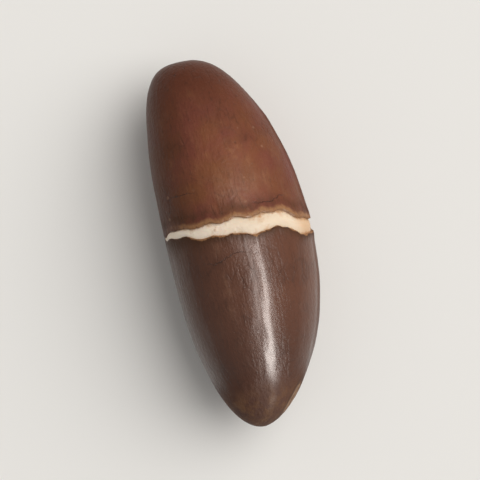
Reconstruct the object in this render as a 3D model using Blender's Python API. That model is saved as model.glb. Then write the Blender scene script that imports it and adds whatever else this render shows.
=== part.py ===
# A baru nut, the roasted seed of Dipteryx alata, lying on its broad side.
# The long axis runs along X, the width along Y, and the flat spot it rests on lies at Z = 0.
# The brown seed coat has split across its middle, and the cream kernel shows in the split.
# A place on the seed is given by its distance x along the axis and by its turn, the angle
# about the axis: 0 on top, positive towards +Y. Units are metres and radians.

import math

import bmesh
import bpy

MM = 0.001

# The body of the seed
LENGTH = 25.0 * MM
WIDTH = 9.6 * MM
THICKNESS = 8.5 * MM
SHOULDER_POWER = 2.0  # 2 gives an ellipse, more gives fuller shoulders
TIP_POWER = 0.463  # less gives blunter tips
TIP_SKEW = 0.089  # makes the tip at +X blunter and the one at -X more pointed
BOW = 1.15 * MM  # both tips bend this far towards +Y
KEEL_TURN = math.radians(-82)  # the edge along which the raphe runs
KEEL_SHARE = 0.03  # how far the flank bulges there
KEEL_SPREAD = math.radians(29)
REST_DEPTH = 0.20 * MM  # what the flat spot takes off the underside

# Low dents of the shrunken coat, which fade out towards the underside
DENT_DEPTH = 0.06 * MM
DENTS_AROUND = 3
DENTS_ALONG = 2.6
DENT_START = 0.8
DENT_TWIST = 1.3

# The split across the coat
SPLIT_X = 0.95 * MM
SPLIT_WIDTH = 1.05 * MM
SPLIT_DEPTH = 0.36 * MM
SPLIT_MIDDLE = math.radians(-25)  # where it gapes widest
SPLIT_REACH = math.radians(120)  # it closes this far to either side of there
GAPE_POWER = 1.4  # more makes the split narrow sooner
GROOVE_POWER = 0.6  # less makes the groove's walls steeper
LIP_HEIGHT = 0.10 * MM
LIP_RUN = 0.50 * MM

# The line of the split
SPLIT_SLANT = 0.35 * MM  # it runs this far towards +X on one flank, and towards -X on the other
HOOK_DROP = 0.65 * MM  # along the keel it drops by as much again towards -X
HOOK_TURN = math.radians(-100)
HOOK_REACH = math.radians(65)  # the drop starts this far to either side of there
HOOK_SPAN = math.radians(25)
JAG_WAVES = ((7, 1.0, 0.09 * MM), (16, 2.0, 0.045 * MM))  # how many, where, how far
WANDER_RUN = 4.0 * MM  # how far from the split the rings of the mesh still follow its line

# The raphe, a low line along the keel, and the hilum, a small oval scar at its end
RAPHE_HEIGHT = 0.11 * MM
RAPHE_HALF_WIDTH = 0.30 * MM
RAPHE_END = 0.80  # share of the half length at which it has run out
RAPHE_FADE = 0.20
HILUM_X = -11.0 * MM
HILUM_TURN = KEEL_TURN + math.radians(14)
HILUM_HALF_LENGTH = 0.85 * MM
HILUM_HALF_WIDTH = 0.45 * MM
HILUM_DEPTH = 0.14 * MM
HILUM_RIM = 0.45  # the rim's height as a share of the depth
HILUM_RIM_OUT = 1.25
HILUM_RIM_SPREAD = 0.45

# The mesh
SEGMENTS = 68
RINGS = 54
RING_CROWDING = 0.70  # rings are drawn together at the split by this share of their spacing
CROWDING_SPAN = math.radians(20)

COAT_COLOUR = (0.120, 0.047, 0.026, 1.0)
COAT_ROUGHNESS = 0.34
KERNEL_COLOUR = (0.72, 0.50, 0.30, 1.0)
KERNEL_ROUGHNESS = 0.55
KERNEL_SHARE = 0.84  # the share of the groove's width that shows the kernel


def smooth_step(value):
    value = min(max(value, 0.0), 1.0)
    return value * value * (3.0 - 2.0 * value)


def bell(value):
    return math.exp(-value * value)


def turn_between(turn, middle):
    """The angle from middle to turn, the short way round."""
    return math.remainder(turn - middle, math.tau)


def split_gape(turn):
    """How far the split gapes: 1 at its middle, 0 where it has closed."""
    swing = abs(turn_between(turn, SPLIT_MIDDLE)) / SPLIT_REACH
    return max(0.0, math.cos(min(swing, 1.0) * math.pi / 2)) ** GAPE_POWER


def split_wander(turn):
    """How far the split's line strays from SPLIT_X at this turn."""
    within = HOOK_REACH - abs(turn_between(turn, HOOK_TURN))
    hook = HOOK_DROP * smooth_step(within / HOOK_SPAN)
    jag = sum(far * math.sin(count * turn + start) for count, start, far in JAG_WAVES)
    return SPLIT_SLANT * math.sin(turn) + jag - hook


def split_relief(off, turn):
    """The lips and the groove, at this distance from the split's line along the seed."""
    gape = split_gape(turn)
    half = SPLIT_WIDTH / 2 * gape
    if abs(off) >= half:
        return LIP_HEIGHT * gape * bell((abs(off) - half) / LIP_RUN)
    inside = (1.0 - (off / half) ** 2) ** GROOVE_POWER
    return LIP_HEIGHT * gape - (SPLIT_DEPTH + LIP_HEIGHT) * math.sqrt(gape) * inside


def raphe_relief(x, turn, radius):
    across = turn_between(turn, KEEL_TURN) * radius / RAPHE_HALF_WIDTH
    shown = smooth_step((RAPHE_END - abs(2 * x / LENGTH)) / RAPHE_FADE)
    return RAPHE_HEIGHT * bell(across) * shown


def hilum_relief(x, turn, radius):
    along = (x - HILUM_X) / HILUM_HALF_LENGTH
    across = turn_between(turn, HILUM_TURN) * radius / HILUM_HALF_WIDTH
    out = math.hypot(along, across)
    rim = HILUM_RIM * bell((out - HILUM_RIM_OUT) / HILUM_RIM_SPREAD)
    return HILUM_DEPTH * (rim - bell(out))


def dent_relief(x, turn):
    along = math.sin(DENTS_ALONG * math.tau * x / LENGTH + DENT_TWIST * math.sin(turn))
    around = math.sin(DENTS_AROUND * turn + DENT_START)
    return DENT_DEPTH * along * around * math.cos(turn / 2) ** 2


def crowded(polar):
    """Draws the rings of the mesh together where the split runs."""
    off = polar - math.acos(2 * SPLIT_X / LENGTH)
    return polar - RING_CROWDING * off * bell(off / CROWDING_SPAN)


def seed_point(polar, turn):
    """The point of the seed's outside for a point of a sphere."""
    ring_x = LENGTH / 2 * math.cos(crowded(polar))
    off = ring_x - SPLIT_X
    x = ring_x + split_wander(turn) * bell(off / WANDER_RUN)
    share = min(max(2 * x / LENGTH, -1.0), 1.0)
    profile = (1.0 - abs(share) ** SHOULDER_POWER) ** (TIP_POWER - TIP_SKEW * share)
    radius = WIDTH / 2 * profile
    relief = split_relief(off, turn) + raphe_relief(x, turn, radius)
    relief += hilum_relief(x, turn, radius) * profile + dent_relief(x, turn) * profile
    bulge = 1.0 + KEEL_SHARE * bell(turn_between(turn, KEEL_TURN) / KEEL_SPREAD)
    y = (radius * bulge + relief) * math.sin(turn) + BOW * share * share
    z = (THICKNESS / 2 * profile + relief) * math.cos(turn)
    return x, y, z


def shows_kernel(polar, turn):
    off = LENGTH / 2 * math.cos(crowded(polar)) - SPLIT_X
    return abs(off) < KERNEL_SHARE * SPLIT_WIDTH / 2 * split_gape(turn)


def sphere_angles(point):
    """A sphere's poles, on its own Z, become the two tips of the seed."""
    return math.acos(min(max(point.z, -1.0), 1.0)), math.atan2(point.x, point.y)


def flatten_and_centre(bm):
    """Presses the underside to a plane, and puts the origin below the middle of the box."""
    lows, highs = ([pick(vert.co[k] for vert in bm.verts) for k in range(3)] for pick in (min, max))
    floor = lows[2] + REST_DEPTH
    for vert in bm.verts:
        vert.co.x -= (lows[0] + highs[0]) / 2
        vert.co.y -= (lows[1] + highs[1]) / 2
        vert.co.z = max(vert.co.z - floor, 0.0)


def make_material(name, colour, roughness):
    material = bpy.data.materials.new(name)
    material.use_nodes = True
    shader = material.node_tree.nodes["Principled BSDF"]
    shader.inputs["Base Color"].default_value = colour
    shader.inputs["Roughness"].default_value = roughness
    shader.inputs["Metallic"].default_value = 0.0
    return material


def make_seed(collection):
    bm = bmesh.new()
    bmesh.ops.create_uvsphere(bm, u_segments=SEGMENTS, v_segments=RINGS, radius=1.0)
    for face in bm.faces:
        middle = face.calc_center_median().normalized()
        face.material_index = int(shows_kernel(*sphere_angles(middle)))
    for vert in bm.verts:
        vert.co = seed_point(*sphere_angles(vert.co))
    flatten_and_centre(bm)
    mesh = bpy.data.meshes.new("baru_nut")
    bm.to_mesh(mesh)
    bm.free()
    mesh.shade_smooth()
    mesh.materials.append(make_material("seed_coat", COAT_COLOUR, COAT_ROUGHNESS))
    mesh.materials.append(make_material("kernel", KERNEL_COLOUR, KERNEL_ROUGHNESS))
    collection.objects.link(bpy.data.objects.new("baru_nut", mesh))


def main():
    for old in list(bpy.data.objects):
        bpy.data.objects.remove(old, do_unlink=True)
    collection = bpy.data.collections.new("baru_nut")
    bpy.context.scene.collection.children.link(collection)
    make_seed(collection)


main()
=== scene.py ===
# A roasted baru nut lying on its broad side: one cream kernel in a thin, glossy brown coat,
# which has split across the middle. Lengths are metres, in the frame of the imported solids: the
# seed's long axis runs along X, and it rests on a small flat spot at Z = 0.

import math

import bpy
from mathutils import Matrix, Vector


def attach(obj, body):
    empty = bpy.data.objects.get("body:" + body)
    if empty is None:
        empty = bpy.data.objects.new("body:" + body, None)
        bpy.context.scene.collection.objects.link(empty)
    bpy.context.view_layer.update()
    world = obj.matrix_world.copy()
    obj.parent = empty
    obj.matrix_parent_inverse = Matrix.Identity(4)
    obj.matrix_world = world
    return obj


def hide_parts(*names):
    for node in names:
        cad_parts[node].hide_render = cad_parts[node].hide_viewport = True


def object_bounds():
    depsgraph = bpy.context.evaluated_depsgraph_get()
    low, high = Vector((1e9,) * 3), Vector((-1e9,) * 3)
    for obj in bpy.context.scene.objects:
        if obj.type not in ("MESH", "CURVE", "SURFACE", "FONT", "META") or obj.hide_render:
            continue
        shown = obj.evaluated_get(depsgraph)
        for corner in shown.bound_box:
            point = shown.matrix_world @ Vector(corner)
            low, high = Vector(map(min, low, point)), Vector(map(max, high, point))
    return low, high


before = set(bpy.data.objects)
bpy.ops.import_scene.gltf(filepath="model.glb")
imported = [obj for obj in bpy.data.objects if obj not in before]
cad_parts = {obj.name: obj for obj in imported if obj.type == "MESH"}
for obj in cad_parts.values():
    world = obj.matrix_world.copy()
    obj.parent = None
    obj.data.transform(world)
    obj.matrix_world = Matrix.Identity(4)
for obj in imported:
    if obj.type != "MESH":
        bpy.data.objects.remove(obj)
solid_low, solid_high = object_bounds()

# The kernel is the oily, cream flesh of the seed. It fills the coat and is grown to it, and
# shows only as the pale strip in the split, where it swells up between the lips of the coat.

MM = 0.001
LENGTH = solid_high.x - solid_low.x
WIDTH = 9.6 * MM
THICKNESS = 8.5 * MM
REST_DEPTH = 0.20 * MM
AXIS_HEIGHT = THICKNESS / 2 - REST_DEPTH
SHOULDER_POWER = 2.0
TIP_POWER = 0.463
TIP_SKEW = 0.089
BOW = 1.15 * MM
KEEL_TURN = math.radians(-82)
KEEL_SHARE = 0.03
KEEL_SPREAD = math.radians(29)
RAPHE_HEIGHT = 0.11 * MM
AXIS_Y = 0.125 * MM

SPLIT_X = 0.95 * MM
SPLIT_WIDTH = 1.05 * MM
SPLIT_MIDDLE = math.radians(-25)
SPLIT_REACH = math.radians(120)
SEAM_HALF = 0.05 * MM
GAPE_POWER = 1.4
SPLIT_SLANT = 0.35 * MM
HOOK_DROP = 0.65 * MM
HOOK_TURN = math.radians(-100)
HOOK_REACH = math.radians(65)
HOOK_SPAN = math.radians(25)

# Each wave's count round the seed, its start, and how far it shifts the split's line.
JAG_WAVES = ((7, 1.0, 0.09 * MM), (16, 2.0, 0.045 * MM))
WANDER_RUN = 4.0 * MM

RING_CROWDING = 0.80
CROWDING_SPAN = math.radians(20)

KERNEL_SIZES = {
    "Segments": 256,
    "Rings": 160,
    "Split width": SPLIT_WIDTH,
    "Below coat": 0.09 * MM,
    "Below coat elsewhere": 0.45 * MM,
    "Shown half width": 2.0 * MM,
    "Swell": 0.14 * MM,
    "Swell half width": 0.50 * MM,
    "Grain": 0.030 * MM,
}
KERNEL_RISE_GAPE = 0.03
KERNEL_LUMP = 0.60 * MM
KERNEL_PATCH = 1.10 * MM
KERNEL_GRAIN = 0.24 * MM
KERNEL_FLECK = 0.60 * MM
KERNEL_BUMP = 0.04 * MM
KERNEL_CREAM = (0.70, 0.57, 0.43, 1.0)
KERNEL_PAINTED_LIGHT = (0.90, 0.76, 0.62, 1.0)
KERNEL_TOASTED = (0.56, 0.34, 0.18, 1.0)
KERNEL_STAIN_AND_SHADE = (0.34, 0.16, 0.065, 1.0)

# Where the painted light on the kernel's +Y side and its darker keel side start and are full,
# across the seed, and how far patches shift them.
PAINTED_LIGHT_SIDE = (-1.0 * MM, 2.4 * MM)
PAINTED_LIGHT_SHIFT = 0.6 * MM
KERNEL_KEEL_SIDE = (-3.5 * MM, -4.5 * MM)
KERNEL_KEEL_SHIFT = 0.3 * MM


class Wire:
    """An output in a node tree. Sums on it add Math nodes, and add() puts in any other node."""

    def __init__(self, tree, socket=None):
        self.tree = tree
        self.socket = socket

    def add(self, kind, settings=None, sockets=None):
        node = self.tree.nodes.new(kind)
        for name, value in (settings or {}).items():
            setattr(node, name, value)
        free = [socket for socket in node.inputs if socket.enabled]
        for key, value in (sockets or {}).items():
            socket = free[key] if isinstance(key, int) else next(s for s in free if s.name == key)
            if isinstance(value, Wire):
                self.tree.links.new(value.socket, socket)
            else:
                socket.default_value = value
        return Wire(self.tree, next(socket for socket in node.outputs if socket.enabled))

    def beside(self, name):
        return Wire(self.tree, self.socket.node.outputs[name])

    def math(self, operation, *others):
        terms = dict(enumerate((self, *others)))
        return self.add("ShaderNodeMath", {"operation": operation}, terms)

    def __add__(self, other):
        return self.math("ADD", other)

    def __sub__(self, other):
        return self.math("SUBTRACT", other)

    def __rsub__(self, other):
        return self.math("MULTIPLY", -1.0).math("ADD", other)

    def __mul__(self, other):
        return self.math("MULTIPLY", other)

    def __truediv__(self, other):
        return self.math("DIVIDE", other)

    def __pow__(self, other):
        return self.math("POWER", other)

    def __neg__(self):
        return self.math("MULTIPLY", -1.0)

    def __abs__(self):
        return self.math("ABSOLUTE")

    __radd__ = __add__
    __rmul__ = __mul__


def bell(value):
    return (-(value * value)).math("EXPONENT")


def ease(value, low, high):
    """0 up to low, 1 from high, and a smooth step between them."""
    spans = {"Value": value, "From Min": low, "From Max": high}
    return value.add("ShaderNodeMapRange", {"interpolation_type": "SMOOTHSTEP"}, spans)


def blend(share, first, second):
    """first where share is 0, second where it is 1, for numbers."""
    return share * (second - first) + first


def turn_from(turn, middle):
    return (turn - middle).math("WRAP", math.pi, -math.pi)


def xyz(x, y, z):
    return next(w for w in (x, y, z) if isinstance(w, Wire)).add(
        "ShaderNodeCombineXYZ", {}, {"X": x, "Y": y, "Z": z}
    )


def noise(place, patch, detail=2.0, rough=0.5):
    """A smooth random value from about -1 to 1, whose patches are about this far across."""
    sockets = {"Vector": place, "Scale": 1 / patch, "Detail": detail, "Roughness": rough}
    return (place.add("ShaderNodeTexNoise", {}, sockets) - 0.5) * 2.0


def cells(place, apart, feature="F1"):
    """The distance to the nearest of many scattered points, or to the edge between two."""
    sockets = {"Vector": place, "Scale": 1 / apart}
    return place.add("ShaderNodeTexVoronoi", {"feature": feature}, sockets)


def round_the_seed(turn, along):
    """A place on a round bar as thick as the seed, where a pattern meets itself."""
    radius = THICKNESS / 2
    return xyz(turn.math("COSINE") * radius, turn.math("SINE") * radius, along)


def ring_and_turn(tree):
    """A point of a unit sphere: its ring's distance from the split's ring, and its turn."""
    spot = Wire(tree).add("GeometryNodeInputPosition")
    side = spot.add("ShaderNodeSeparateXYZ", {}, {"Vector": spot})
    polar = side.beside("Z").math("ARCCOSINE")
    from_split = polar - math.acos(2 * SPLIT_X / LENGTH)
    drawn_in = from_split * bell(from_split / CROWDING_SPAN) * RING_CROWDING
    ring = (polar - drawn_in).math("COSINE") * (LENGTH / 2) - SPLIT_X
    return ring, side.math("ARCTAN2", side.beside("Y"))


def split_gape(turn):
    """How far the split gapes: 1 at its middle, 0 where it has closed."""
    swing = (abs(turn_from(turn, SPLIT_MIDDLE)) / SPLIT_REACH).math("MINIMUM", 1.0)
    return (swing * (math.pi / 2)).math("COSINE").math("MAXIMUM", 0.0) ** GAPE_POWER


def split_wander(turn):
    """How far the split's line strays from SPLIT_X at this turn."""
    within = HOOK_REACH - abs(turn_from(turn, HOOK_TURN))
    line = turn.math("SINE") * SPLIT_SLANT - ease(within, 0.0, HOOK_SPAN) * HOOK_DROP
    for count, start, far in JAG_WAVES:
        line = line + (turn * count + start).math("SINE") * far
    return line


def on_seed(ring, turn, strays, relief, half_length=LENGTH / 2):
    """The place on the seed for a ring and a turn, this far out from its smooth body."""
    share = ((ring + strays + SPLIT_X) / (LENGTH / 2)).math("MINIMUM", 1.0).math("MAXIMUM", -1.0)
    profile = (1.0 - abs(share) ** SHOULDER_POWER) ** (TIP_POWER - share * TIP_SKEW)
    bulge = bell(turn_from(turn, KEEL_TURN) / KEEL_SPREAD) * KEEL_SHARE + 1.0
    out = relief(share, profile)
    y = (profile * bulge * (WIDTH / 2) + out) * turn.math("SINE") + share * share * BOW
    z = (profile * (THICKNESS / 2) + out) * turn.math("COSINE")
    return xyz(share * half_length, y, z)


def geometry_tree(name, sizes):
    """A geometry tree with a named input for each size, and a wire for each of them."""
    tree = bpy.data.node_groups.new(name, "GeometryNodeTree")
    tree.is_modifier = True
    tree.interface.new_socket("Geometry", in_out="OUTPUT", socket_type="NodeSocketGeometry")
    for size, value in sizes.items():
        kind = "NodeSocketInt" if isinstance(value, int) else "NodeSocketFloat"
        tree.interface.new_socket(size, in_out="INPUT", socket_type=kind)
    inputs = tree.nodes.new("NodeGroupInput")
    return tree, {size: Wire(tree, inputs.outputs[size]) for size in sizes}


def grow(name, tree, sizes, shape, material):
    """Ends the tree with this shape, runs it, and returns its mesh as a finished object."""
    shape = shape.add("GeometryNodeSetShadeSmooth", {}, {"Geometry": shape})
    shape = shape.add("GeometryNodeRealizeInstances", {}, {"Geometry": shape})
    shape = shape.add(
        "GeometryNodeSetMaterial", {}, {"Geometry": shape, "Material": material}
    )
    end = tree.nodes.new("NodeGroupOutput")
    tree.links.new(shape.socket, end.inputs["Geometry"])
    seedling = bpy.data.objects.new(name + "_tree", bpy.data.meshes.new(name + "_tree"))
    bpy.context.scene.collection.objects.link(seedling)
    modifier = seedling.modifiers.new(name, "NODES")
    modifier.node_group = tree
    for item in tree.interface.items_tree:
        if item.in_out == "INPUT":
            modifier[item.identifier] = sizes[item.name]
    evaluated = seedling.evaluated_get(bpy.context.evaluated_depsgraph_get())
    mesh = bpy.data.meshes.new_from_object(evaluated)
    mesh.name = name
    bpy.data.objects.remove(seedling)
    piece = bpy.data.objects.new(name, mesh)
    bpy.context.scene.collection.objects.link(piece)
    return piece


def lay_down(piece):
    """Moves the seed's axis to its place, and presses the seed's outside to the solid's box."""
    for vertex in piece.data.vertices:
        place = vertex.co + Vector((0.0, AXIS_Y, AXIS_HEIGHT))
        vertex.co = [
            min(max(value, low), high) for value, low, high in zip(place, solid_low, solid_high)
        ]
    piece.data.update()


def new_material(name, constants):
    """A material, a first wire in its tree, and its Principled node with these constants."""
    material = bpy.data.materials.new(name)
    material.use_nodes = True
    shader = material.node_tree.nodes["Principled BSDF"]
    for socket, value in constants.items():
        shader.inputs[socket].default_value = value
    return material, Wire(material.node_tree), shader


def mix(share, first, second):
    """first where share is 0, second where it is 1, for colours."""
    return share.add(
        "ShaderNodeMix", {"data_type": "RGBA"}, {"Factor": share, "A": first, "B": second}
    )


def feed(shader, **sockets):
    for name, wire in sockets.items():
        socket = shader.inputs[name.replace("_", " ")]
        wire.tree.links.new(wire.socket, socket)


def kernel_material():
    constants = {
        "Subsurface Weight": 0.12,
        "Subsurface Radius": (1.0, 0.6, 0.35),
        "Subsurface Scale": 0.4 * MM,
        "Specular IOR Level": 0.4,
    }
    material, tree, shader = new_material("kernel", constants)
    place = tree.add("ShaderNodeTexCoord").beside("Object")
    across = place.add("ShaderNodeSeparateXYZ", {}, {"Vector": place}).beside("Y")
    to_edge = tree.add("ShaderNodeAttribute", {"attribute_name": "to_edge"}).beside("Fac")
    patches = noise(place, KERNEL_PATCH, 3.0)
    grain = noise(place, KERNEL_GRAIN, 4.0, 0.65)
    # Toasted patches, and painted shade towards the coat's lips.
    toast_and_edge_shade = ease(patches + grain * 0.6 + to_edge * 0.35, 0.15, 1.0)
    # Painted light: the kernel is made paler towards its +Y side.
    pale = ease(across + patches * PAINTED_LIGHT_SHIFT, *PAINTED_LIGHT_SIDE)
    colour = mix(toast_and_edge_shade, mix(pale, KERNEL_CREAM, KERNEL_PAINTED_LIGHT), KERNEL_TOASTED)
    at_keel = ease(across + patches * KERNEL_KEEL_SHIFT, *KERNEL_KEEL_SIDE)
    colour = mix(at_keel * 0.8, colour, KERNEL_TOASTED)
    # A darker rim where the kernel meets the coat's lips, partly real stain and partly painted
    # shade.
    edge_stain_and_shade = ease(to_edge + grain * 0.35 + patches * 0.2, 0.75, 1.15)
    flecks = ease(cells(place, KERNEL_FLECK) + grain * 0.15, 0.22, 0.12) * ease(patches, 0.0, 0.4)
    colour = mix(edge_stain_and_shade * 0.7, colour, KERNEL_STAIN_AND_SHADE)
    colour = mix(flecks * 0.6, colour, KERNEL_STAIN_AND_SHADE)
    height = patches * 0.5 + grain * 0.6 + flecks * 0.4
    bump = height.add(
        "ShaderNodeBump", {}, {"Height": height, "Strength": 0.6, "Distance": KERNEL_BUMP}
    )
    feed(shader, Base_Color=colour, Roughness=grain * 0.08 + 0.5, Normal=bump)
    return material


def kernel_shape(tree, size):
    ring, turn = ring_and_turn(tree)
    sphere = ring.add(
        "GeometryNodeMeshUVSphere",
        {},
        {"Segments": size["Segments"], "Rings": size["Rings"], "Radius": 1.0},
    )
    fades = bell(ring / WANDER_RUN)
    gape = split_gape(turn)

    def relief(_share, profile):
        swell = bell(ring / size["Swell half width"]) * gape * size["Swell"]
        grain = noise(round_the_seed(turn, ring), KERNEL_LUMP, 3.0) * size["Grain"] * fades
        shown = bell(ring / size["Shown half width"]) * ease(gape, 0.0, KERNEL_RISE_GAPE)
        below = blend(shown, size["Below coat elsewhere"], size["Below coat"])
        return (swell + grain - below) * profile

    half = gape * size["Split width"] * 0.5 + SEAM_HALF
    sphere = sphere.add(
        "GeometryNodeStoreNamedAttribute",
        {"data_type": "FLOAT", "domain": "POINT"},
        {"Geometry": sphere, "Name": "to_edge", "Value": (abs(ring) / half).math("MINIMUM", 3.0)},
    )
    inside_length = LENGTH / 2 - size["Below coat elsewhere"]
    place = on_seed(ring, turn, split_wander(turn) * fades, relief, inside_length)
    return sphere.add("GeometryNodeSetPosition", {}, {"Geometry": sphere, "Position": place})


kernel_tree, kernel_inputs = geometry_tree("kernel", KERNEL_SIZES)
kernel_mesh = kernel_shape(kernel_tree, kernel_inputs)
kernel = grow("kernel", kernel_tree, KERNEL_SIZES, kernel_mesh, kernel_material())
lay_down(kernel)
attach(kernel, "root")
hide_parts("baru_nut")


# The seed coat is a thin, dry skin, glossy and brown. It shrank in roasting, so it is lightly
# dented and wrinkled along the seed, and it has split across the middle with lifted lips. The
# low raphe runs along one edge, to the hilum, the small oval scar where the seed was attached.

COAT_SIZES = {
    "Segments": 352,
    "Rings": 272,
    "Split width": SPLIT_WIDTH,
    "Seam half width": SEAM_HALF,
    "Groove depth": 0.50 * MM,
    "Lip height": 0.10 * MM,
    "Lip run": 0.50 * MM,
    "Lip edge": 0.035 * MM,
    "Lip edge run": 0.05 * MM,
    "Chipping": 0.24 * MM,
    "Dents": 0.06 * MM,
    "Uneven": 0.045 * MM,
    "Orange peel": 0.005 * MM,
    "Wrinkles": 0.016 * MM,
    "Crinkles": 0.016 * MM,
    "Raphe height": RAPHE_HEIGHT,
    "Raphe half width": 0.30 * MM,
    "Hilum depth": 0.14 * MM,
}
RING_HALF = 0.50 * MM
GROOVE_HALF = 0.999 * RING_HALF
OPENED_GAPE = 0.10
MEAN_CELL = 0.45
SHARD = 0.94 * MM
CHIP = 0.47 * MM
SPLINTER = 0.33 * MM
# Each tongue's lip, -1 for the darker half's, its place round the seed, its breadth and its reach.
TONGUES = (
    (-1, math.radians(-34), math.radians(5), 0.28 * MM),
    (1, math.radians(6), math.radians(13), 0.28 * MM),
    (-1, math.radians(37), math.radians(14), 0.15 * MM),
)
DENTS_AROUND = 3
DENTS_ALONG = 2.6
DENT_START = 0.8
DENT_TWIST = 1.3
RAPHE_END = 0.80
RAPHE_FADE = 0.20
RAPHE_STAIN_HALF = 0.28 * MM
RAPHE_STAIN_END = 0.95
HILUM_X = -11.0 * MM
HILUM_TURN = KEEL_TURN + math.radians(14)
HILUM_HALF_LENGTH = 0.85 * MM
HILUM_HALF_WIDTH = 0.45 * MM
HILUM_RIM = 0.45
HILUM_RIM_OUT = 1.25
HILUM_RIM_SPREAD = 0.45

SWELLING = 3.0 * MM
BLOTCH = 3.8 * MM
MOTTLE = 0.67 * MM
STREAK = 0.67 * MM
CRINKLE = 0.38 * MM
CREASE = 0.59 * MM
CREASE_STRAY = 0.1 * MM
CREASES_DRAWN_OUT = 0.5
RIDGES_DRAWN_OUT = 0.10
TONES_DRAWN_OUT = 0.12
CRINKLES_SQUEEZED = 0.15
COAT_BUMP = 0.05 * MM
PIT = 0.91 * MM
PORE = 0.19 * MM
FIBRE = 0.17 * MM
FLECK = 1.10 * MM
TINGE = 2.4 * MM
HAIRLINE_BEND = 1.9 * MM
HAIRLINE_STRAY = 0.7 * MM
HAIRLINE_HALF = 0.040 * MM
# Each fine crack's place along the seed and round it, and how far round it runs.
HAIRLINES = (
    (2.1 * MM, math.radians(-36), math.radians(22)),
    (-0.9 * MM, math.radians(16), math.radians(24)),
    (3.6 * MM, math.radians(48), math.radians(20)),
    (-2.9 * MM, math.radians(104), math.radians(34)),
    (4.4 * MM, math.radians(-108), math.radians(30)),
)

RED_BROWN = (0.180, 0.060, 0.022, 1.0)
WINE_BROWN = (0.172, 0.045, 0.029, 1.0)
RED_BROWN_DARK = (0.085, 0.023, 0.010, 1.0)
RED_BROWN_PALE = (0.290, 0.118, 0.050, 1.0)
DARK_BROWN = (0.108, 0.039, 0.020, 1.0)
DARK_BROWN_DEEP = (0.052, 0.017, 0.008, 1.0)
DARK_BROWN_PALE = (0.185, 0.082, 0.044, 1.0)
SHEEN_AND_SCUFF_TAN = (0.300, 0.150, 0.090, 1.0)
TIP_BROWN = (0.160, 0.070, 0.024, 1.0)
LIP_BROWN = (0.052, 0.019, 0.006, 1.0)
COAT_EDGE = (0.280, 0.135, 0.058, 1.0)
HILUM_TAN = (0.330, 0.200, 0.115, 1.0)
CRACK_AND_SHADE_BROWN = (0.022, 0.009, 0.005, 1.0)

# Where each tone, painted shade, painted sheen and gloss starts and is full, along the seed or
# across it, and how far it strays.
FLANK_SHADE_SIDE = (0.5 * MM, 4.5 * MM)
FLANK_SHADE_SHIFT = 1.0 * MM
KEEL_SIDE = (-1.2 * MM, -4.2 * MM)
KEEL_SHIFT = 0.8 * MM
BLUNT_TIP = (5.5 * MM, 11.5 * MM)
BLUNT_TIP_SHIFT = 1.5 * MM
NARROW_END = (-3.0 * MM, -9.0 * MM)
NARROW_END_SHIFT = 2.0 * MM
NARROW_TIP = (-9.2 * MM, -11.2 * MM)
NARROW_TIP_SHIFT = 0.8 * MM
ROUGH_TIP = (-8.5 * MM, -10.5 * MM)
DULL_TIP = (-8.0 * MM, -10.0 * MM)
PAINTED_SHEEN_Y = -0.6 * MM
PAINTED_SHEEN_HALF_WIDTH = 1.8 * MM

# Distances from the split's lips are in millimetres, as the mesh keeps them.
CRINKLED_REACH = 1.6
PAINTED_SHEEN_MIDDLE = 1.8
PAINTED_SHEEN_REACH = 1.3
SINGED_MIDDLE = 0.70
SINGED_REACH = 0.34
LIP_DARK_REACH = 0.40
LIP_SHADE_REACH = 1.0
FLAKED_ABOVE = 0.44
FLAKED_BELOW = 0.12
FLAKED_LESS_IN_PAINTED_SHADE = 0.09
SHINE_DIP_REACH = 5.0


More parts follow.
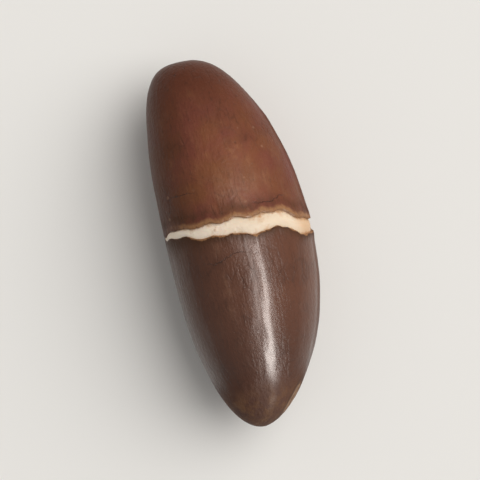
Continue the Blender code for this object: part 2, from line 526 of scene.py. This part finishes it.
def coat_shape(tree, size):
    ring, turn = ring_and_turn(tree)
    shape = ring.add(
        "GeometryNodeMeshUVSphere",
        {},
        {"Segments": size["Segments"], "Rings": size["Rings"], "Radius": 1.0},
    )
    gape = split_gape(turn)
    fades = bell(ring / WANDER_RUN)
    inside = ease(abs(ring), RING_HALF, GROOVE_HALF)
    from_lip = (abs(ring) - RING_HALF).math("MAXIMUM", 0.0)
    towards = (ring / RING_HALF).math("MINIMUM", 1.0).math("MAXIMUM", -1.0)
    rim = round_the_seed(turn, ring.math("SIGN") * (2 * THICKNESS))
    shards = cells(rim, SHARD) - MEAN_CELL
    splinters = cells(rim, SPLINTER) - MEAN_CELL
    chips = (noise(rim, CHIP, 3.0) * 0.5 + shards + splinters * 0.45) * size["Chipping"]
    half = gape * (chips + size["Split width"] * 0.5)
    for lip, middle_turn, spread, reach in TONGUES:
        tongue = bell(turn_from(turn, middle_turn) / spread) * ease(ring, 0.0, RING_HALF * lip)
        half = half - tongue * reach
    strays = (split_wander(turn) + towards * (half + size["Seam half width"] - RING_HALF)) * fades

    opened = ease(gape, 0.0, OPENED_GAPE)
    curl = bell(from_lip / size["Lip run"]) * size["Lip height"]
    edge = bell(from_lip / size["Lip edge run"]) * size["Lip edge"]
    lips = (curl * gape - edge * opened) * (1.0 - inside)
    groove = inside * opened * size["Groove depth"]

    def from_hilum(share, radius):
        """The distance from the hilum's middle: 1 on its outline."""
        along = (share * (LENGTH / 2) - HILUM_X) / HILUM_HALF_LENGTH
        beside = turn_from(turn, HILUM_TURN) * radius / HILUM_HALF_WIDTH
        return (along * along + beside * beside).math("SQRT")

    def relief(share, profile):
        radius = profile * (WIDTH / 2)
        across = turn_from(turn, KEEL_TURN) * radius / size["Raphe half width"]
        shown = ease(abs(share), RAPHE_END, RAPHE_END - RAPHE_FADE)
        raphe = bell(across) * shown * size["Raphe height"]
        out = from_hilum(share, radius)
        rim = bell((out - HILUM_RIM_OUT) / HILUM_RIM_SPREAD) * HILUM_RIM
        hilum = (rim - bell(out)) * size["Hilum depth"]
        wave = (share * (DENTS_ALONG * math.pi) + turn.math("SINE") * DENT_TWIST).math("SINE")
        around = (turn * DENTS_AROUND + DENT_START).math("SINE")
        topside = (turn / 2).math("COSINE") ** 2.0
        dents = wave * around * topside * size["Dents"]
        return lips - groove + raphe + (hilum + dents) * profile

    place = on_seed(ring, turn, strays, relief)
    share = (ring + SPLIT_X) / (LENGTH / 2)
    profile = (1.0 - abs(share).math("MINIMUM", 1.0) ** SHOULDER_POWER) ** 0.5
    radius = profile * (WIDTH / 2)
    kept = {
        "from_split": (ring.math("SIGN") * from_lip) / MM,
        "in_split": inside * opened,
        "gape": gape,
        "raphe": bell(turn_from(turn, KEEL_TURN) * radius / RAPHE_STAIN_HALF)
        * ease(abs(share), RAPHE_STAIN_END, RAPHE_STAIN_END - RAPHE_FADE),
        "hilum_out": from_hilum(share, radius),
    }
    for name, value in kept.items():
        shape = shape.add(
            "GeometryNodeStoreNamedAttribute",
            {"data_type": "FLOAT", "domain": "POINT"},
            {"Geometry": shape, "Name": name, "Value": value},
        )
    shape = shape.add("GeometryNodeSetPosition", {}, {"Geometry": shape, "Position": place})

    spot = shape.add("GeometryNodeInputPosition")
    side = spot.add("ShaderNodeSeparateXYZ", {}, {"Vector": spot})
    drawn_out = xyz(side * RIDGES_DRAWN_OUT, side.beside("Y"), side.beside("Z"))
    around, up = side.beside("Y") * CRINKLES_SQUEEZED, side.beside("Z") * CRINKLES_SQUEEZED
    squeezed = xyz(side, around, up)
    kept_value = {
        name: shape.add("GeometryNodeInputNamedAttribute", {"data_type": "FLOAT"}, {"Name": name})
        for name in ("from_split", "in_split", "gape")
    }
    outside = 1.0 - kept_value["in_split"].math("MINIMUM", 1.0)
    near = bell(kept_value["from_split"] / CRINKLED_REACH) * kept_value["gape"]
    fine = noise(spot, SWELLING) * size["Uneven"]
    fine = fine + noise(spot, MOTTLE) * size["Orange peel"]
    fine = fine + noise(drawn_out, STREAK, 3.0) * size["Wrinkles"]
    fine = fine + noise(squeezed, CRINKLE) * near * size["Crinkles"]
    normal = fine.add("GeometryNodeInputNormal")
    push = normal.add(
        "ShaderNodeVectorMath", {"operation": "SCALE"}, {"Vector": normal, "Scale": fine * outside}
    )
    return shape.add("GeometryNodeSetPosition", {}, {"Geometry": shape, "Offset": push})


def coat_material():
    constants = {
        "Specular IOR Level": 0.18,
        "Coat Roughness": 0.20,
        "Coat IOR": 1.42,
    }
    material, tree, shader = new_material("seed_coat", constants)
    place = tree.add("ShaderNodeTexCoord").beside("Object")
    side = place.add("ShaderNodeSeparateXYZ", {}, {"Vector": place})
    drawn_out = xyz(side * TONES_DRAWN_OUT, side.beside("Y"), side.beside("Z"))
    turn = side.beside("Y").math("ARCTAN2", side.beside("Z") - AXIS_HEIGHT)

    def kept(name):
        return tree.add("ShaderNodeAttribute", {"attribute_name": name}).beside("Fac")

    from_split = kept("from_split")
    gape = kept("gape")
    in_split = kept("in_split")
    raphe = kept("raphe")
    hilum_out = kept("hilum_out")

    blotches = noise(place, BLOTCH, 4.0, 0.6)
    streaks = noise(drawn_out, STREAK, 5.0, 0.65)
    mottle = noise(place, MOTTLE, 5.0, 0.7)
    pores = noise(place, PORE)
    fibres = noise(drawn_out, FIBRE, 3.0, 0.6)
    strayed = side.beside("Y") + mottle * CREASE_STRAY
    shrunk = xyz(side * CREASES_DRAWN_OUT, strayed, side.beside("Z"))
    creases = ease(cells(shrunk, CREASE, "DISTANCE_TO_EDGE"), 0.14, 0.0)
    creases = creases * ease(mottle + blotches, -0.2, 0.6)
    pit = ease(cells(place, PIT), 0.16, 0.06) * ease(mottle, 0.0, 0.5)
    strays = noise(place, HAIRLINE_BEND, 5.0, 0.7) * HAIRLINE_STRAY
    crack = 0.0
    for x, middle_turn, reach in HAIRLINES:
        swing = abs(turn_from(turn, middle_turn)) / reach + streaks * 0.4
        line = ease(abs(side + strays - x), HAIRLINE_HALF, 0.0)
        crack = line * ease(swing, 1.0, 0.3) + crack

    merges = blend(ease(gape, 0.0, 0.15), 4.0, 0.1)
    blunt_half = ease((from_split + blotches * 0.3) / merges, -1.0, 1.0)
    darker = ease(blotches * 0.9 + streaks * 0.5, -0.1, 0.8)
    paler = ease(mottle * 0.8 + streaks * 0.8 - blotches * 0.6, 0.05, 1.1)
    tinge = ease(noise(place, TINGE, 3.0), -0.4, 0.4)
    red = mix(darker, mix(tinge, RED_BROWN, WINE_BROWN), RED_BROWN_DARK)
    red = mix(paler, red, RED_BROWN_PALE)
    dark = mix(paler, mix(darker, DARK_BROWN, DARK_BROWN_DEEP), DARK_BROWN_PALE)
    colour = mix(blunt_half, dark, red)
    # Painted shade: the +Y flank is darkened towards the deep brown.
    flank_painted_shade = ease(side.beside("Y") + blotches * FLANK_SHADE_SHIFT, *FLANK_SHADE_SIDE)
    colour = mix(flank_painted_shade * 0.72, colour, DARK_BROWN_DEEP)
    # Painted shade: the red half is darkened towards the keel side.
    keel_painted_shade = ease(side.beside("Y") + blotches * KEEL_SHIFT, *KEEL_SIDE)
    colour = mix(keel_painted_shade * blunt_half * 0.45, colour, RED_BROWN_DARK)
    # Painted sheen: a pale tan patch on the red half just above the split, in place of a soft
    # glossy reflection.
    painted_sheen = bell((from_split - PAINTED_SHEEN_MIDDLE) / PAINTED_SHEEN_REACH)
    painted_sheen = painted_sheen * bell((side.beside("Y") - PAINTED_SHEEN_Y) / PAINTED_SHEEN_HALF_WIDTH)
    colour = mix(painted_sheen * ease(mottle + streaks, -0.6, 0.5) * 0.45, colour, SHEEN_AND_SCUFF_TAN)
    # Pale tan flecks, real scuffs, in the same tan as the painted sheen.
    fleck = ease(cells(place, FLECK) + pores * 0.02, 0.13, 0.07) * blunt_half
    colour = mix(fleck * ease(blotches, -0.2, 0.3) * 0.6, colour, SHEEN_AND_SCUFF_TAN)
    # Painted shade: the blunt tip is darkened to the dark red brown.
    blunt_tip_painted_shade = ease(side + blotches * BLUNT_TIP_SHIFT, *BLUNT_TIP)
    colour = mix(blunt_tip_painted_shade, colour, RED_BROWN_DARK)
    # Painted shade: the narrow end is darkened towards the deep brown.
    narrow_end_painted_shade = ease(side + blotches * NARROW_END_SHIFT, *NARROW_END)
    colour = mix(narrow_end_painted_shade * 0.55, colour, DARK_BROWN_DEEP)
    at_tip = ease(side + (mottle + blotches) * NARROW_TIP_SHIFT, *NARROW_TIP)
    colour = mix(at_tip * ease(mottle + streaks, -0.4, 0.5) * 0.65, colour, TIP_BROWN)

    above = ease(from_split, 0.0, 0.01)
    singed = (from_split + mottle * 0.20 + blotches * 0.15 - SINGED_MIDDLE) / SINGED_REACH
    # The lower lip's dark band: a darker coat edge and painted shade below the split, made wider
    # on the shaded +Y flank as painted shade.
    lip_dark_and_painted_shade = bell(from_split / blend(flank_painted_shade, LIP_DARK_REACH, LIP_SHADE_REACH))
    lip = blend(above, lip_dark_and_painted_shade, bell(singed) * ease(mottle + streaks, -0.7, 0.4) * 0.7)
    lip = lip * ease(gape, 0.02, 0.25) * (1.0 - in_split)
    colour = mix(lip * 0.85, colour, LIP_BROWN)
    # The pale broken edge is narrowed on the shaded +Y flank, as painted shade.
    flaked = blend(above, FLAKED_BELOW - flank_painted_shade * FLAKED_LESS_IN_PAINTED_SHADE, FLAKED_ABOVE)
    worn = ease(abs(from_split) + mottle * 0.25 + streaks * 0.15, flaked, flaked * 0.35)
    worn = worn * ease(gape + mottle * 0.6, 0.1, 0.7)
    worn = worn * ease(pores + fibres, -1.4, 0.2)
    colour = mix((worn + ease(in_split, 0.3, 0.9)).math("MINIMUM", 1.0), colour, COAT_EDGE)
    colour = mix(raphe * 0.55, colour, DARK_BROWN_DEEP)
    colour = mix(ease(pores * 0.7 + fibres, 0.0, 1.0) * 0.45, colour, CRACK_AND_SHADE_BROWN)
    # Painted shade in the creases.
    colour = mix(creases * 0.25, colour, CRACK_AND_SHADE_BROWN)
    # Dark hairline cracks, and painted shade in the pits.
    colour = mix(crack * 0.55 + pit * 0.5, colour, CRACK_AND_SHADE_BROWN)
    scar_out = hilum_out + mottle * 0.30 + fibres * 0.20
    scar = ease(scar_out, 1.20, 0.85)
    colour = mix(bell((scar_out - 1.35) / 0.30) * 0.6, colour, LIP_BROWN)
    colour = mix(scar * ease(pores + mottle, -1.2, 0.6) * 0.85, colour, HILUM_TAN)
    colour = mix(bell(scar_out / 0.45) * 0.85, colour, LIP_BROWN)

    rough = blend(blunt_half, streaks * 0.06 + 0.34, streaks * 0.06 + 0.46)
    rough = rough + mottle * 0.08 + lip * 0.2 + scar * 0.15
    rough = rough + ease(side, *ROUGH_TIP) * 0.30
    height = mottle * 0.45 + streaks * 0.45 + pores * 0.35 + fibres * 0.3
    height = height - crack * 1.2 - pit * 1.5 - creases * 0.5
    bump = height.add(
        "ShaderNodeBump", {}, {"Height": height, "Strength": 0.8, "Distance": COAT_BUMP}
    )
    dulled = ease(side, *DULL_TIP) * 0.95
    shine = 0.85 - bell(from_split / SHINE_DIP_REACH) * 0.34
    glossy = blend(blunt_half, shine, 0.10) * (1.0 - lip) * (1.0 - dulled) + mottle * 0.1
    feed(shader, Base_Color=colour, Roughness=rough, Coat_Weight=glossy, Normal=bump)
    return material


coat_tree, coat_inputs = geometry_tree("seed_coat", COAT_SIZES)
coat_mesh = coat_shape(coat_tree, coat_inputs)
seed_coat = grow("seed_coat", coat_tree, COAT_SIZES, coat_mesh, coat_material())
lay_down(seed_coat)
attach(seed_coat, "root")
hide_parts("baru_nut")


# The stage is a plain pale floor, lit as in a small studio: a long strip light and a short, weaker
# one beside it, for the streak along the darker half, which widens towards the split, a broad
# lamp on the same side, and an even pale room.

FLOOR_SIDE = 2.0
FLOOR_DROP = 0.02 * MM
FLOOR_COLOUR = (0.78, 0.77, 0.75, 1.0)
ROOM_COLOUR = (1.0, 0.985, 0.965, 1.0)
ROOM_STRENGTH = 0.37
STRIP_PLACE = Vector((-97 * MM, -54 * MM, 108 * MM))
STRIP_ALONG = Vector((-194, 28, -160)).normalized()
STRIP_SIZE = (260 * MM, 24 * MM)
STRIP_POWER = 0.50
SHORT_STRIP_PLACE = Vector((-32 * MM, -19 * MM, 172 * MM))
SHORT_STRIP_SIZE = (90 * MM, 24 * MM)
SHORT_STRIP_POWER = 0.058
STRIP_LIGHT = (1.0, 0.95, 0.90)
LAMP_PLACE = Vector((160 * MM, -610 * MM, 680 * MM))
LAMP_ALONG = Vector((1, 0, 0))
LAMP_SIZE = (1120 * MM, 1120 * MM)
LAMP_POWER = 4.7
LAMP_LIGHT = (1.0, 0.98, 0.95)
LAMP_SPREAD = math.radians(100)
SEED_MIDDLE = Vector((0.0, 0.0, 4.3 * MM))

bpy.ops.mesh.primitive_plane_add(size=FLOOR_SIDE, location=(0.0, 0.0, -FLOOR_DROP))
floor = bpy.context.object
floor.name = "floor"
floor_constants = {"Base Color": FLOOR_COLOUR, "Roughness": 1.0, "Specular IOR Level": 0.0}
floor.data.materials.append(new_material("floor", floor_constants)[0])


def add_lamp(name, place, along, size, power, colour, spread=math.pi):
    """A soft rectangular lamp that faces the seed, its long side along this direction."""
    light = bpy.data.lights.new(name, "AREA")
    light.shape = "RECTANGLE"
    light.size, light.size_y = size
    light.energy = power
    light.color = colour
    light.spread = spread
    lamp = bpy.data.objects.new(name, light)
    bpy.context.scene.collection.objects.link(lamp)
    back = (place - SEED_MIDDLE).normalized()
    side = (along - back * along.dot(back)).normalized()
    up = back.cross(side)
    lamp.location = place
    lamp.rotation_euler = Matrix((side, up, back)).transposed().to_euler()
    return lamp


strips = (
    ("strip", STRIP_PLACE, STRIP_SIZE, STRIP_POWER),
    ("short_strip", SHORT_STRIP_PLACE, SHORT_STRIP_SIZE, SHORT_STRIP_POWER),
)
for name, place, size, power in strips:
    strip = add_lamp(name, place, STRIP_ALONG, size, power, STRIP_LIGHT)
    strip.visible_diffuse = False
lamp = add_lamp("lamp", LAMP_PLACE, LAMP_ALONG, LAMP_SIZE, LAMP_POWER, LAMP_LIGHT, LAMP_SPREAD)
lamp.visible_glossy = False

world = bpy.data.worlds.new("room")
world.use_nodes = True
background = world.node_tree.nodes["Background"]
background.inputs["Color"].default_value = ROOM_COLOUR
background.inputs["Strength"].default_value = ROOM_STRENGTH
bpy.context.scene.world = world
bpy.context.scene.view_settings.view_transform = "Standard"


# The camera looks straight down on the seed, turned so that its blunt end leans to the left of
# the picture's top, and fills the same share of the picture's height as a close view would.

LENS_MM = 120.0
SENSOR_MM = 36.0
LEAN = math.radians(13.4)
SHARE_OF_HEIGHT = 0.78
TIPS_BREADTH = 0.3 * WIDTH

camera_data = bpy.data.cameras.new("camera")
camera_data.lens = LENS_MM
camera_data.sensor_width = SENSOR_MM
camera_data.clip_start = 5 * MM
camera = bpy.data.objects.new("camera", camera_data)
bpy.context.scene.collection.objects.link(camera)
tall = LENGTH * math.cos(LEAN) + TIPS_BREADTH * math.sin(LEAN)
distance = tall / SHARE_OF_HEIGHT * LENS_MM / SENSOR_MM
camera.location = (0.0, 0.0, SEED_MIDDLE.z + distance)
camera.rotation_euler = (0.0, 0.0, -(math.pi / 2 + LEAN))
bpy.context.scene.camera = camera
